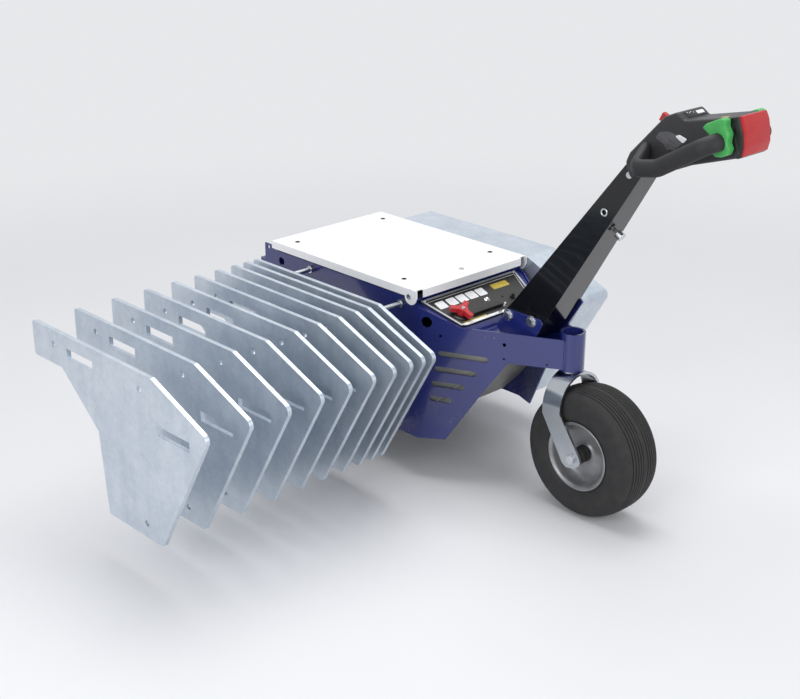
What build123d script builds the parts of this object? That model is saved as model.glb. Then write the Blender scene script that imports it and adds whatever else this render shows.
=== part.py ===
from build123d import *
import os
from math import atan2, cos, degrees, hypot, radians, sin, tan

# A walk-behind battery tug: a steel chassis with a lift-up battery lid, a tiller arm,
# two drive wheels in front, one castor wheel behind and ten ballast plates on each side.
# Lengths are millimetres. +X runs forward, away from the operator, +Y to the left, +Z up.
# While it is drawn, x is measured from the lid's rear edge and y from the middle line.

# Driving dimensions: clearances
seat_gap = 0.3
bore_slack = 0.05

# Driving dimensions: lid and side panels
lid_length = 691.0
lid_width = 497.0
lid_top = 630.0
lid_lip = 25.0
lid_sheet = 3.0
lid_overhang = 8.5
sheet = 5.0
side_bottom = 143.0
pan_rise = 34.0
ear_length = 71.0
ear_w = 60.0
ear_top = 612.0
ear_foot = 556.0
lip_room = 7.0
hinge_x = 33.0
hinge_z = 606.0
hinge_pin_d = 10.0

# Driving dimensions: wheels
tyre_d = 400.0
tyre_w = 156.0
drive_tyre_w = 118.0
rim_d = 216.0
bead_d = 203.0
rim_share = 0.84
drive_axle_x = 500.0
wheel_room = 88.0
stub_d = 40.0
axle_tube_d = 70.0

# Driving dimensions: castor and swivel
swivel_x = -405.0
castor_axle_x = -500.0
castor_axle_d = 20.0
fork_room = 9.0
crown_room = 24.0
bar_t = 8.0
bar_w = 66.0
stem_d = 40.0
boss_d = 60.0
tube_d = 76.0
tube_wall = 8.0
tube_length = 119.0
swivel_gap = 2.0

# Driving dimensions: ballast
plate_t = 13.5
plate_seam = 0.2
plate_count = 10
pack_room = 9.0
plate_top = 625.0
first_plate_room = 161.0
spread_steps = [41.0, 49.0, 65.0, 78.0, 87.0, 101.0, 114.0, 127.0, 138.0]
stud_d = 16.0
stud_free = 12.0
stud_collar_d = 24.0
stud_points = [(489.0, 581.0), (66.0, 577.0), (71.0, 176.0)]
plate_hole_d = 18.0
nut_r = 14.0
nut_t = 13.0

# Driving dimensions: tiller
arm_foot_w = 130.0
arm_top_w = 86.0
arm_bolt_d = 14.0
bracket_t = 6.0
head_tilt = radians(20.0)
head_w = 116.0
head_end_x = -985.0
grip_y = 135.0
grip_w = 35.0
grip_h = 47.0

# Driving dimensions: tow jaw
jaw_reach = 84.0
jaw_z = 300.0
jaw_gap = 60.0
jaw_t = 15.0
jaw_w = 110.0
pin_d = 25.0

# Sizes that follow from them
side_y = lid_width / 2 - lid_overhang
inside_y = side_y - sheet
front_x = lid_length + ear_length
jaw_front_x = front_x + jaw_reach
axle_z = tyre_d / 2
fork_y = tyre_w / 2 + fork_room + bar_t
crown_z = tyre_d + crown_room + bar_t
tube_bottom = crown_z + swivel_gap
tube_top = tube_bottom + tube_length
beam_low = tube_bottom + 6.0
beam_high = beam_low + 93.0
deck_z = beam_low + 66.0
floor_z = side_bottom + pan_rise
drive_wheel_y = side_y + wheel_room
pack_inner_y = lid_width / 2 + pack_room
pack_t = plate_count * plate_t + (plate_count - 1) * plate_seam
spread_y = [side_y + first_plate_room]
for step in spread_steps:
    spread_y.append(spread_y[-1] + step)
spread_y.reverse()

# The bounding box runs from the tiller's rear end to the jaw and across both packs
box_right_y = -(pack_inner_y + pack_t + nut_t)
box_mid_x = (head_end_x + jaw_front_x) / 2
box_mid_y = (spread_y[0] + box_right_y) / 2

out = {}


def keep(name, shape):
    """Moves a piece from the drawing's zero to the middle of the box and stores it."""
    out[name] = Pos(-box_mid_x, -box_mid_y, 0) * shape


def prism_y(points, y0, y1):
    """A side-view outline of (x, z) points, filled from y0 to y1."""
    wire = Polyline([(x, y0, z) for x, z in points], close=True)
    return extrude(make_face(wire), amount=y1 - y0, dir=(0, 1, 0))


def prism_z(points, z0, z1):
    """A plan outline of (x, y) points, filled from z0 to z1."""
    wire = Polyline([(x, y, z0) for x, y in points], close=True)
    return extrude(make_face(wire), amount=z1 - z0, dir=(0, 0, 1))


def rounded_y(points, radii, y0, y1):
    """As prism_y, with the outline's corners rounded by radii, one for each point."""
    body = prism_y(points, y0, y1)
    for (x, z), r in zip(points, radii):
        corner = [
            e for e in body.edges().filter_by(Axis.Y)
            if hypot(e.center().X - x, e.center().Z - z) < 0.01
        ]
        body = fillet(corner, r)
    return body


def rod(p0, p1, d):
    """A round bar of diameter d between two points."""
    a, b = Vector(*p0), Vector(*p1)
    way = b - a
    plane = Plane(origin=a, z_dir=way)
    return extrude(plane * Circle(d / 2), amount=way.length)


def hexagon(x, y, z, sign, r, t):
    """A nut or bolt head of corner radius r, which stands out from y by t."""
    plane = Plane(origin=(x, y, z), z_dir=(0, sign, 0))
    return extrude(plane * RegularPolygon(r, 6), amount=t)


def block(x0, x1, y0, y1, z0, z1):
    """A plain box between two corners."""
    return Pos((x0 + x1) / 2, (y0 + y1) / 2, (z0 + z1) / 2) * Box(x1 - x0, y1 - y0, z1 - z0)


def mirror_y(shape):
    """The same piece on the other side."""
    return mirror(shape, about=Plane.XZ)


# The control panel lies on a plane that falls to the rear from just behind the lid
cp_front_x = 21.0
cp_front_z = 586.0
cp_rate = 0.39
cp_rear_x = -121.0
cp_slope = atan2(cp_rate, 1.0)


def cp_z(x):
    """Height of the control panel's face at x."""
    return cp_front_z + cp_rate * (x - cp_front_x)


# Side panels: straight beside the battery, then bent in to meet the swivel tube
tube_join_y = tube_d / 2 + 2.0
bend_run = -swivel_x
bend_angle = atan2(side_y - tube_join_y, bend_run)
bend_len = hypot(bend_run, side_y - tube_join_y)
stretch = 1 / cos(bend_angle)
lobe_room = 50.0
lobe_flank = 60.0
under_lid_z = lid_top - lid_lip - lip_room
panel_rear_z = cp_z(0) - 0.5
stud_land = 40.0


def straight_outline():
    """The part beside the battery, in (x, z), with the front ear and the axle lobe."""
    lobe_z = axle_z - lobe_room
    lobe_x0, lobe_x1 = drive_axle_x - lobe_flank, drive_axle_x + lobe_flank
    land_x = stud_points[2][0] + stud_land
    return [
        (0, side_bottom), (land_x, side_bottom), (land_x + pan_rise, floor_z),
        (lobe_x0 - lobe_room, floor_z), (lobe_x0, lobe_z), (lobe_x1, lobe_z), (lobe_x1 + lobe_room, floor_z),
        (front_x, floor_z), (front_x, ear_foot), (front_x - 24, ear_foot), (front_x - 24, ear_top),
        (front_x - ear_w, ear_top), (front_x - ear_w - 12, under_lid_z), (60, under_lid_z), (0, panel_rear_z),
    ]


def bent_outline():
    """The part behind the lid, in (distance along the bend, z)."""
    return [
        (0, side_bottom), (82 * stretch, 152), (188 * stretch, 331), (255 * stretch, beam_low - 4),
        (bend_len, beam_low), (bend_len, beam_high), (122 * stretch, cp_z(-122) - 0.5), (0, panel_rear_z),
    ]


slot_h = 18.0
# Cooling slots: height, then nearest and farthest distance behind the bend
slots = [(437, 56, 199), (385, 46, 167), (335, 38, 134), (285, 34, 97)]
# Round holes: distance behind the bend, height, diameter
panel_holes = [(23, 534, 34), (63, 495, 9)]
beam_holes = [(188, 71, 9), (213, 70, 9), (243, 54, 11), (243, 8, 7), (362, 8, 7)]
panel_holes += [(x, beam_low + rise, d) for x, rise, d in beam_holes]
front_hole = (lid_length - 39.0, 566.0, 28.0)
ear_hole = (front_x - 42.0, 600.0, 13.0)
hinge_ear_d = 26.0


def side_panel():
    """The left side panel, sheet metal with its holes, slots and hinge ear."""
    straight = prism_y(straight_outline(), inside_y, side_y)
    straight += rod((hinge_x, inside_y, hinge_z), (hinge_x, side_y, hinge_z), hinge_ear_d)
    ear_half = hinge_ear_d / 2
    straight += block(hinge_x - ear_half, hinge_x + ear_half, inside_y, side_y, under_lid_z - 20, hinge_z)
    round_cuts = [front_hole, ear_hole, (drive_axle_x, axle_z, axle_tube_d), (hinge_x, hinge_z, hinge_pin_d)]
    round_cuts += [(x, z, stud_d) for x, z in stud_points]
    for x, z, d in round_cuts:
        straight -= rod((x, inside_y - 1, z), (x, side_y + 1, z), d)
    wire = Polyline([(s, z, 0) for s, z in bent_outline()], close=True)
    flat = extrude(make_face(wire), amount=-sheet)
    for z, near, far in slots:
        middle, width = (near + far) / 2 * stretch, (far - near) * stretch
        flat -= Pos(middle, z, 0) * extrude(SlotOverall(width, slot_h), amount=-sheet)
    for x, z, d in panel_holes:
        flat -= Pos(x * stretch, z, 0) * Cylinder(d / 2, 4 * sheet)
    bend = Plane(
        origin=(0, side_y, 0),
        x_dir=(-cos(bend_angle), -sin(bend_angle), 0),
        z_dir=(-sin(bend_angle), cos(bend_angle), 0),
    )
    return straight + bend.from_local_coords(flat)


left_panel = side_panel()
tube_cut = rod((swivel_x, 0, beam_low - 20), (swivel_x, 0, tube_top), tube_d)
left_panel -= tube_cut
keep("side_panel_left", left_panel)
keep("side_panel_right", mirror_y(left_panel))

# Swivel tube with its bush
tube_bore = tube_d - 2 * tube_wall
bush_length = tube_length - 29.0
tube = rod((swivel_x, 0, tube_bottom), (swivel_x, 0, tube_top), tube_d)
tube -= rod((swivel_x, 0, tube_bottom), (swivel_x, 0, tube_top), tube_bore)
keep("swivel_tube", tube)
bush_top = tube_bottom + bush_length
bush = rod((swivel_x, 0, tube_bottom), (swivel_x, 0, bush_top), tube_bore)
bush -= rod((swivel_x, 0, tube_bottom), (swivel_x, 0, bush_top), stem_d + 2 * bore_slack)
keep("swivel_bush", bush)


def inner_y(x):
    """Half the clear width between the side panels, at x."""
    if x >= 0:
        return inside_y
    return side_y + x * tan(bend_angle) - sheet / cos(bend_angle)


# The inside of the bend lies a little in front of its outside
bend_inside_x = (sheet / cos(bend_angle) - sheet) / tan(bend_angle)


def between(x0, x1):
    """Plan outline that fills the room between the panels, from x0 back to x1."""
    pts = [(x0, inner_y(x0))]
    if x0 > 0 > x1:
        pts.append((bend_inside_x, inside_y))
    pts.append((x1, inner_y(x1)))
    return pts + [(x, -y) for x, y in reversed(pts)]


# The rear apron rises from its lip below the battery to the beam's floor
beam_floor_x = -262.0
apron_bend_x = -190.0
apron_foot = (76.0, 150.0)
apron_bend = (apron_bend_x, beam_low - 15)
apron_t = 3.5
apron_front = [apron_foot, apron_bend, (beam_floor_x, beam_low)]
apron_back = [(x - apron_t, z - apron_t) for x, z in reversed(apron_front)]
apron = prism_y(apron_front + apron_back, -inside_y, inside_y)
keep("rear_apron", apron & prism_z(between(apron_foot[0], beam_floor_x - 9), 0, lid_top))

# Floor pan: it carries the battery and ends at the apron
apron_lean = (apron_foot[0] - apron_bend[0]) / (apron_bend[1] - apron_foot[1])
gear_room = 120.0
pan_rear = apron_foot[0] - (floor_z - apron_foot[1]) * apron_lean + seat_gap
pan_front = drive_axle_x - gear_room
keep("floor_pan", prism_z(between(pan_front, pan_rear), floor_z, floor_z + sheet))

# Front cross plate
cross_t = 8.0
motor_room = 14.0
keep("front_cross_plate", block(front_x - cross_t, front_x, -inside_y, inside_y, floor_z, ear_foot))

# Battery box rim: four strips that the lid closes over
rim_top = under_lid_z - 2.0
rim_h = 22.0
strip_w = 20.0
strip_x0, strip_x1 = hinge_x - 7, lid_length - 1
strips = block(strip_x0, strip_x1, -inside_y, inside_y, rim_top - rim_h, rim_top)
bay_y = inside_y - strip_w
strips -= block(strip_x0 + strip_w, strip_x1 - strip_w, -bay_y, bay_y, rim_top - rim_h, rim_top)
keep("battery_box_rim", strips)

# The battery is one block on the floor pan
battery_x = 90.0
battery_length = 300.0
battery_h = 370.0
battery_y = inside_y - strip_w
battery_z = floor_z + sheet
battery_front, battery_top = battery_x + battery_length, battery_z + battery_h
keep("battery", block(battery_x, battery_front, -battery_y, battery_y, battery_z, battery_top))

# Lid: a folded pan with two rounded rear ears on the hinge pins
half_lid = lid_width / 2
lid_in = half_lid - lid_sheet
lid_low = lid_top - lid_lip
lid = block(0, lid_length, -half_lid, half_lid, lid_low, lid_top)
lid -= block(lid_sheet, lid_length - lid_sheet, -lid_in, lid_in, lid_low, lid_top - lid_sheet)
notch_w = 28.0
notch_l = 10.0
notch = block(0, notch_l, half_lid - notch_w, lid_in, lid_low, lid_top)
ear = rod((hinge_x - 5, lid_in, hinge_z), (hinge_x - 5, half_lid, hinge_z), 50)
ear += block(hinge_x - 30, hinge_x + 20, lid_in, half_lid, hinge_z, lid_top - 5)
hinge_bore_d = hinge_pin_d + 2 * bore_slack
hinge_bore = rod((hinge_x, lid_in - 1, hinge_z), (hinge_x, half_lid + 1, hinge_z), hinge_bore_d)
lid += ear + mirror_y(ear)
lid -= notch + mirror_y(notch) + hinge_bore + mirror_y(hinge_bore)
lid_hole_x = 112.0
lid_hole_step = 510.0
lid_hole_y = 194.0
lid_hole_d = 12.0
for x in (lid_hole_x, lid_hole_x + lid_hole_step):
    for y in (lid_hole_y, -lid_hole_y):
        lid -= rod((x, y, lid_top - lid_sheet - 1), (x, y, lid_top + 1), lid_hole_d)
keep("lid", lid)
hinge_head_t = 3.0
pin_in = inside_y - 4
pin_out = half_lid + seat_gap
pin = rod((hinge_x, pin_in, hinge_z), (hinge_x, pin_out, hinge_z), hinge_pin_d)
pin += rod((hinge_x, pin_out, hinge_z), (hinge_x, pin_out + hinge_head_t, hinge_z), 18)
keep("lid_hinge_pin_left", pin)
keep("lid_hinge_pin_right", mirror_y(pin))

# Control panel: a framed trapezium tray on a bed plate between the side panels
cp_top_y = 213.0
cp_low_y = 174.4
cp_frame_w = 12.0
cp_plate_t = 3.0
cp_up = (-sin(cp_slope), 0, cos(cp_slope))
cp_plane = Plane(origin=(cp_front_x, 0, cp_front_z), x_dir=(0, 1, 0), z_dir=cp_up)
cp_fall = (cp_front_x - cp_rear_x) / cos(cp_slope)


def on_cp(points, z0, z1):
    """A plate on the control panel's slope from (y, distance down the slope) points."""
    wire = Polyline([(y, s, z0) for y, s in points], close=True)
    return cp_plane.from_local_coords(extrude(make_face(wire), amount=z1 - z0, dir=(0, 0, 1)))


def cp_outline(inset):
    """Trapezium with clipped lower corners, shrunk by inset on every side."""
    top, low, deep = cp_top_y - inset, cp_low_y - inset - 2, cp_fall - inset
    half = [(top, inset), (low, deep - 8), (low - 20, deep)]
    return half + [(-y, s) for y, s in reversed(half)]


tray = on_cp(cp_outline(0), -2 * cp_plate_t, 0) - on_cp(cp_outline(cp_frame_w), -cp_plate_t, 0)
keep("control_panel", tray)

# Beam plates: a bed under the control panel, the deck that carries the arm, and a floor
beam_t = 6.0
beam_rear = swivel_x + tube_d / 2 - 4
bed_half = [(inside_y, 0), (inside_y, cp_front_x / cos(cp_slope)), (inner_y(cp_rear_x), cp_fall)]
bed = on_cp(bed_half + [(-y, s) for y, s in reversed(bed_half)], -2 * cp_plate_t - beam_t, -2 * cp_plate_t)
bed &= prism_z(between(cp_front_x + 9, cp_rear_x - 9), 0, lid_top)
deck = prism_z(between(cp_rear_x - 14, beam_rear), deck_z - beam_t, deck_z)
beam_floor = prism_z(between(beam_floor_x, beam_rear), beam_low, beam_low + beam_t)
keep("beam_plates", bed + deck + beam_floor - tube_cut)

# Battery isolator: a stem and a Y-shaped red handle
iso_x, iso_y = -71.0, 128.0
iso_plane = Plane(origin=(iso_x, iso_y, cp_z(iso_x)), x_dir=(0, 1, 0), z_dir=cp_plane.z_dir)
handle_h = 22.0
handle = Cylinder(16, handle_h + cp_plate_t, align=(Align.CENTER, Align.CENTER, Align.MAX))
for turn in (90, 210, 330):
    handle += Rot(0, 0, turn) * Pos(20, 0, -7) * Box(40, 17, 14)
keep("isolator_handle", iso_plane.from_local_coords(Pos(0, 0, handle_h) * handle))

# Tiller: heights from here on are measured from the beam's deck
arm_bolts = [(-212.0, deck_z + 62.0), (-303.0, deck_z + 67.0)]


def above_deck(points):
    """(x, height above the deck) points in (x, z)."""
    return [(x, deck_z + h) for x, h in points]


# Two upright bracket plates stand on the deck beside the arm's foot; the far one is taller
bracket_in = arm_foot_w / 2 + seat_gap
bracket_out = bracket_in + bracket_t
bracket_front = [(-205, 81), (-163, 21), (-181, 0)]
near_line = above_deck(bracket_front + [(-311, 0), (-352, 81)])
far_line = above_deck(bracket_front + [(-311, 0), (-382, 113), (-370, 125), (-318, 81)])
near = rounded_y(near_line, [14, 10, 6, 6, 14], bracket_in, bracket_out)
far = rounded_y(far_line, [14, 10, 6, 6, 6, 6, 10], -bracket_out, -bracket_in)
for x, z in arm_bolts:
    near -= rod((x, 0, z), (x, bracket_out, z), arm_bolt_d)
    far -= rod((x, -bracket_out, z), (x, 0, z), arm_bolt_d)
keep("tiller_bracket_left", near)
keep("tiller_bracket_right", far)
bolt_head_t = 10.0
for name, (x, z) in zip(("front", "rear"), arm_bolts):
    bolt = rod((x, -bracket_out, z), (x, bracket_out, z), arm_bolt_d)
    for sign in (1, -1):
        bolt += hexagon(x, sign * bracket_out, z, sign, nut_r, bolt_head_t)
    keep(f"tiller_bolt_{name}", bolt)

# Tiller arm: a welded box that narrows upward; its foot sits between the brackets
arm_front = above_deck([(-186, 6), (-186, 66), (-221, 106), (-601, 608)])
arm_rear = above_deck([(-642, 567), (-337, 56), (-304, 6)])
arm = prism_y(arm_front + arm_rear, -arm_foot_w / 2, arm_foot_w / 2)
taper_z = deck_z + 34
taper_h = 533.0
taper_side = Plane(
    origin=(0, arm_foot_w / 2, taper_z), x_dir=(1, 0, 0), z_dir=(0, taper_h, (arm_foot_w - arm_top_w) / 2)
)
trim = taper_side * Pos(-400, 400, 100) * Box(1400, 800, 200)
trim_up = taper_side * Pos(-400, -400, 100) * Box(1400, 800, 200)
trim = (trim + trim_up) & block(-1200, 300, -500, 500, taper_z, taper_z + 900)
arm -= trim + mirror_y(trim)
arm_hole = (-530.0, deck_z + 446.0)
arm_hole_d = 16.0
arm_wall = 4.0


def arm_half_w(z):
    """Half the arm's width at height z."""
    return arm_foot_w / 2 - (z - taper_z) / taper_h * (arm_foot_w - arm_top_w) / 2


hole_floor = arm_half_w(arm_hole[1]) - arm_wall
arm -= rod((arm_hole[0], hole_floor, arm_hole[1]), (arm_hole[0], arm_foot_w, arm_hole[1]), arm_hole_d)
for x, z in arm_bolts:
    arm -= rod((x, -arm_foot_w, z), (x, arm_foot_w, z), arm_bolt_d)
knob_h = 386.0
rear_high, rear_low = arm_rear[0], arm_rear[1]
arm_lean = atan2(rear_low[0] - rear_high[0], rear_high[1] - rear_low[1])
knob_foot = Vector(rear_low[0] - (deck_z + knob_h - rear_low[1]) * tan(arm_lean), 0, deck_z + knob_h)
knob_way = Vector(-cos(arm_lean), 0, -sin(arm_lean))
knob = rod(knob_foot, knob_foot + knob_way * 14, 12)
knob += rod(knob_foot + knob_way * 12, knob_foot + knob_way * 32, 26)
keep("arm_knob", knob)

# Control head, drawn in its own tilted plane: u rearward and up, v across its top
head_origin = (-640.0, deck_z + 602.0)
head_plane = Plane(
    origin=(head_origin[0], 0, head_origin[1]), x_dir=(-cos(head_tilt), 0, sin(head_tilt)), z_dir=(0, 1, 0)
)


def moulded(points, corner_r, edge_r, y0, y1):
    """A moulded body: a (u, v) outline filled from y0 to y1, its corners and rims rounded."""
    flat = fillet(make_face(Polyline([(u, v, y0) for u, v in points], close=True)).vertices(), corner_r)
    body = extrude(flat, amount=y1 - y0, dir=(0, 0, 1))
    rims = [e for e in body.edges() if min(abs(e.center().Z - y0), abs(e.center().Z - y1)) < 0.01]
    return head_plane.from_local_coords(fillet(rims, edge_r))


half_head = head_w / 2
housing_uv = [
    (-38, -30), (-40, 16), (-20, 38), (118, 110), (160, 113),
    (178, 88), (322, 70), (322, -34), (168, -28), (60, -36),
]
housing = moulded(housing_uv, 12, 7, -half_head, half_head)
keep("head_housing", housing)
keep("tiller_arm", arm - housing)


def head_point(u, y, v):
    """A point of the head's frame in (x, y, z)."""
    c, s = cos(head_tilt), sin(head_tilt)
    return (head_origin[0] - u * c + v * s, y, head_origin[1] + u * s + v * c)


# Grips: an oval tube on each side, from a bar near the housing's end round to its front
grip_bar_u, grip_bar_v = 290.0, 18.0
grip_in = half_head - 10
grip_route = [(grip_bar_u, grip_in, grip_bar_v), (grip_bar_u, grip_y, grip_bar_v), (120, grip_y, -14)]
grip_route += [(50, grip_y, -2), (34, grip_in, 38)]
grip_rise = atan2(grip_bar_v - grip_route[2][2], grip_bar_u - grip_route[2][0])
grip_lean = head_tilt + grip_rise
path = FilletPolyline(*[head_point(*p) for p in grip_route], radius=[34, 60, 30])
oval_plane = Plane(origin=path @ 0, x_dir=(-cos(grip_lean), 0, sin(grip_lean)), z_dir=path % 0)
grip = sweep(oval_plane * Ellipse(grip_w / 2, grip_h / 2), path=path) - housing
keep("grip_left", grip)
keep("grip_right", mirror_y(grip))

# Thumb paddles: butterfly rockers that clip round the grip's rear bar
paddle_uv = [
    (254, 72), (254, 56), (276, 33), (271, 2), (271, -20),
    (316, -20), (316, 2), (329, 33), (334, 56), (334, 72),
]
paddle = moulded(paddle_uv, 5, 2.5, half_head + 6, half_head + 34)
bar_room = extrude(Ellipse(grip_w / 2 + seat_gap, grip_h / 2 + seat_gap), amount=grip_y)
bar_place = Pos(grip_bar_u, grip_bar_v, 0) * Rot(0, 0, degrees(grip_rise))
paddle -= head_plane.from_local_coords(bar_place * bar_room)
keep("thumb_paddle_left", paddle)
keep("thumb_paddle_right", mirror_y(paddle))

# Belly button on the head's end, cut flat at the machine's rearmost point
button_u = 322.0 + seat_gap
button_uv = [(button_u, -35), (button_u, 71), (352, 66), (372, 44), (376, 14), (366, -22), (348, -35)]
button = moulded(button_uv, 4, 3, -50, 50)
keep("belly_button", button & block(head_end_x, 0, -60, 60, 0, 2000))

# Red toggle on top of the head, a diamond on a stalk
toggle_y = -30.0
toggle_uv = [(46, 66), (60, 66), (60, 92), (72, 104), (54, 121), (36, 104), (46, 94)]
toggle_xz = [head_point(u, 0, v)[::2] for u, v in toggle_uv]
toggle = prism_y(toggle_xz, toggle_y - 7, toggle_y + 7)
keep("head_switch", toggle - housing)

# Ballast plates
plate_profile = [
    (597, plate_top), (9, plate_top), (-232, 530), (-1, 132), (259, 132), (285, 381), (451, 520), (597, 520),
]
corner_r = [12, 6, 22, 14, 6, 10, 8, 12]
slot_size = 30.0
# Hand slots: rear end, front end and height
front_slot = (289.0, 419.0, 572.0)
rear_slot = (-150.0, -9.0, 482.0)


def plate():
    """One ballast plate whose outer face is at y = 0."""
    body = rounded_y(plate_profile, corner_r, -plate_t, 0)
    for x, z in stud_points:
        body -= rod((x, -plate_t - 1, z), (x, 1, z), plate_hole_d)
    for x0, x1, z in (front_slot, rear_slot):
        body -= block(x0, x1, -plate_t - 1, 1, z - slot_size / 2, z + slot_size / 2)
    return body


first = plate()
for k, y in enumerate(spread_y, start=1):
    keep(f"ballast_plate_{k:02d}", Pos(0, y, 0) * first)
pack = [Pos(0, -pack_inner_y - k * (plate_t + plate_seam), 0) * first for k in range(plate_count)]
keep("ballast_pack_right", Compound(children=pack))

# Studs: those on the left end at the innermost plate, those on the right run through the pack
for side, sign in (("left", 1), ("right", -1)):
    reach = spread_y[-1] + stud_free if sign > 0 else pack_inner_y + pack_t + nut_t
    studs = []
    for x, z in stud_points:
        stud = rod((x, sign * inside_y, z), (x, sign * reach, z), stud_d)
        stud += rod((x, sign * side_y, z), (x, sign * (pack_inner_y - seat_gap), z), stud_collar_d)
        if sign < 0:
            stud += hexagon(x, -(reach - nut_t + seat_gap), z, -1, nut_r, nut_t - seat_gap)
        studs.append(stud)
    keep(f"studs_{side}", Compound(children=studs))


def turned(points, x, y):
    """Turns a half outline of (radius, y), and its mirror image, about a wheel's axle."""
    pts = points + [(r, -s) for r, s in reversed(points)]
    wire = Polyline([(r, s, 0) for r, s in pts], close=True)
    return Pos(x, y, axle_z) * revolve(make_face(wire), axis=Axis.Y)


def tyre(width, x, y):
    """A pneumatic tyre whose inside seats on the rim's barrel and flanges."""
    half, out_r, bead_r = width / 2, tyre_d / 2, bead_d / 2 + seat_gap
    pts = [
        (bead_r, half * rim_share), (rim_d / 2 + 16, half), (out_r - 30, half * 0.99),
        (out_r - 7, half * 0.8), (out_r, half * 0.5),
    ]
    return turned(pts, x, y)


def rim(width, bore, hub_len, x, y):
    """A steel rim: hub with its bore, disc, barrel and two flared flanges."""
    half, seat, lip = width / 2, bead_d / 2, rim_d / 2
    edge = half * rim_share + 2 * seat_gap
    flare = (lip - seat) * (1 - rim_share) * half / (lip + 16 - seat - seat_gap)
    pts = [
        (bore / 2, hub_len / 2), (bore / 2 + 12, hub_len / 2), (bore / 2 + 14, 9), (seat - 26, 9),
        (seat - 5, 20), (seat - 5, edge + 3), (lip - 2, edge + flare + 5), (lip, edge + flare + 3),
        (lip, edge + flare), (seat, edge),
    ]
    return turned(pts, x, y)


stub_out = drive_wheel_y + 42
for side, sign in (("left", 1), ("right", -1)):
    y = sign * drive_wheel_y
    keep(f"drive_rim_{side}", rim(drive_tyre_w, stub_d + 2 * bore_slack, 76, drive_axle_x, y))
    keep(f"drive_tyre_{side}", tyre(drive_tyre_w, drive_axle_x, y))

# Drive axle: one tube through both side panels, its stub ends carry the wheels
stub_cap_t = 3.0
axle = rod((drive_axle_x, -side_y, axle_z), (drive_axle_x, side_y, axle_z), axle_tube_d)
axle += rod((drive_axle_x, -stub_out, axle_z), (drive_axle_x, stub_out, axle_z), stub_d)
for sign in (1, -1):
    y0, y1 = sign * stub_out, sign * (stub_out + stub_cap_t)
    axle += rod((drive_axle_x, y0, axle_z), (drive_axle_x, y1, axle_z), stub_d + 16)
keep("drive_axle", axle)
gear_d = 150.0
motor_d = 130.0
gear_front = drive_axle_x + gear_d / 2
motor_z = axle_z + 20
gearbox = rod((drive_axle_x, -60, axle_z), (drive_axle_x, 60, axle_z), gear_d)
gearbox -= rod((drive_axle_x, -60, axle_z), (drive_axle_x, 60, axle_z), axle_tube_d)
motor_end = front_x - cross_t - motor_room
motor = rod((gear_front, 0, motor_z), (motor_end, 0, motor_z), motor_d)
neck = block(gear_front - 13, gear_front + 15, -50, 50, motor_z - 60, motor_z + 40)
keep("drive_motor", gearbox + neck + motor)

# Castor: hoop fork of flat bar with its stem, axle, rim and tyre
fork_in = fork_y - bar_t
hoop_z = crown_z - fork_y
hoop_x0, hoop_x1 = swivel_x - bar_w / 2 - 8, swivel_x + bar_w / 2 - 8
hoop_bore = rod((hoop_x0 - 1, 0, hoop_z), (hoop_x1 + 1, 0, hoop_z), 2 * fork_in)
hoop = rod((hoop_x0, 0, hoop_z), (hoop_x1, 0, hoop_z), 2 * fork_y) - hoop_bore
hoop -= block(hoop_x0 - 1, hoop_x1 + 1, -fork_y, fork_y, 0, hoop_z)
eye_r = 32.0
leg_top = [(hoop_x0, hoop_z), (hoop_x1, hoop_z), (hoop_x1, hoop_z - 25)]
leg_foot = [(36, -24), (20, -34), (-12, -28), (-34, -8), (-26, 12)]
leg_line = [(castor_axle_x + dx, axle_z + dz) for dx, dz in leg_foot] + [(hoop_x0, hoop_z - 12)] + leg_top
leg = rounded_y(leg_line, [10, 12, 14, 14, 10, 6, 0.5, 0.5, 8], fork_in, fork_y)
leg -= rod((castor_axle_x, fork_in, axle_z), (castor_axle_x, fork_y, axle_z), castor_axle_d)
hoop += leg + mirror_y(leg)
boss = rod((swivel_x, 0, crown_z - 12), (swivel_x, 0, tube_bottom - seat_gap), boss_d)
stem = rod((swivel_x, 0, crown_z - 12), (swivel_x, 0, bush_top - 6), stem_d)
keep("castor_fork", hoop + (boss + stem - hoop_bore))
axle_reach = fork_y + 12
castor_axle = rod((castor_axle_x, -axle_reach, axle_z), (castor_axle_x, axle_reach, axle_z), castor_axle_d)
axle_nut_t = axle_reach - fork_y - 1
for sign in (1, -1):
    castor_axle += hexagon(castor_axle_x, sign * (fork_y + seat_gap), axle_z, sign, 15, axle_nut_t)
keep("castor_axle", castor_axle)
hub_room = 3.0
keep("castor_rim", rim(tyre_w, castor_axle_d + 2 * bore_slack, 2 * (fork_in - hub_room), castor_axle_x, 0))
keep("castor_tyre", tyre(tyre_w, castor_axle_x, 0))

# Tow jaw on the front cross plate, with its drop pin
jaw = block(front_x, front_x + 10, -80, 80, jaw_z - 60, jaw_z + 60)
for sign in (1, -1):
    low = jaw_z + sign * (jaw_gap + jaw_t) / 2 - jaw_t / 2
    jaw += block(front_x + 10, jaw_front_x, -jaw_w / 2, jaw_w / 2, low, low + jaw_t)
nose = [e for e in jaw.edges().filter_by(Axis.Z) if e.center().X > jaw_front_x - 1]
jaw = fillet(nose, 24)
pin_x = jaw_front_x - 36
jaw_top = jaw_z + jaw_gap / 2 + jaw_t
jaw_low = jaw_z - jaw_gap / 2 - jaw_t
jaw -= rod((pin_x, 0, jaw_low), (pin_x, 0, jaw_top), pin_d + 2 * seat_gap)
keep("tow_jaw", jaw)
tow_pin = rod((pin_x, 0, jaw_low - 20), (pin_x, 0, jaw_top), pin_d)
tow_pin += rod((pin_x, 0, jaw_top), (pin_x, 0, jaw_top + 12), 44)
keep("tow_pin", tow_pin)

os.makedirs("parts", exist_ok=True)
for name, shape in out.items():
    export_step(shape, f"parts/{name}.step")
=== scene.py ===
from math import atan, cos, pi, radians, sin

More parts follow.
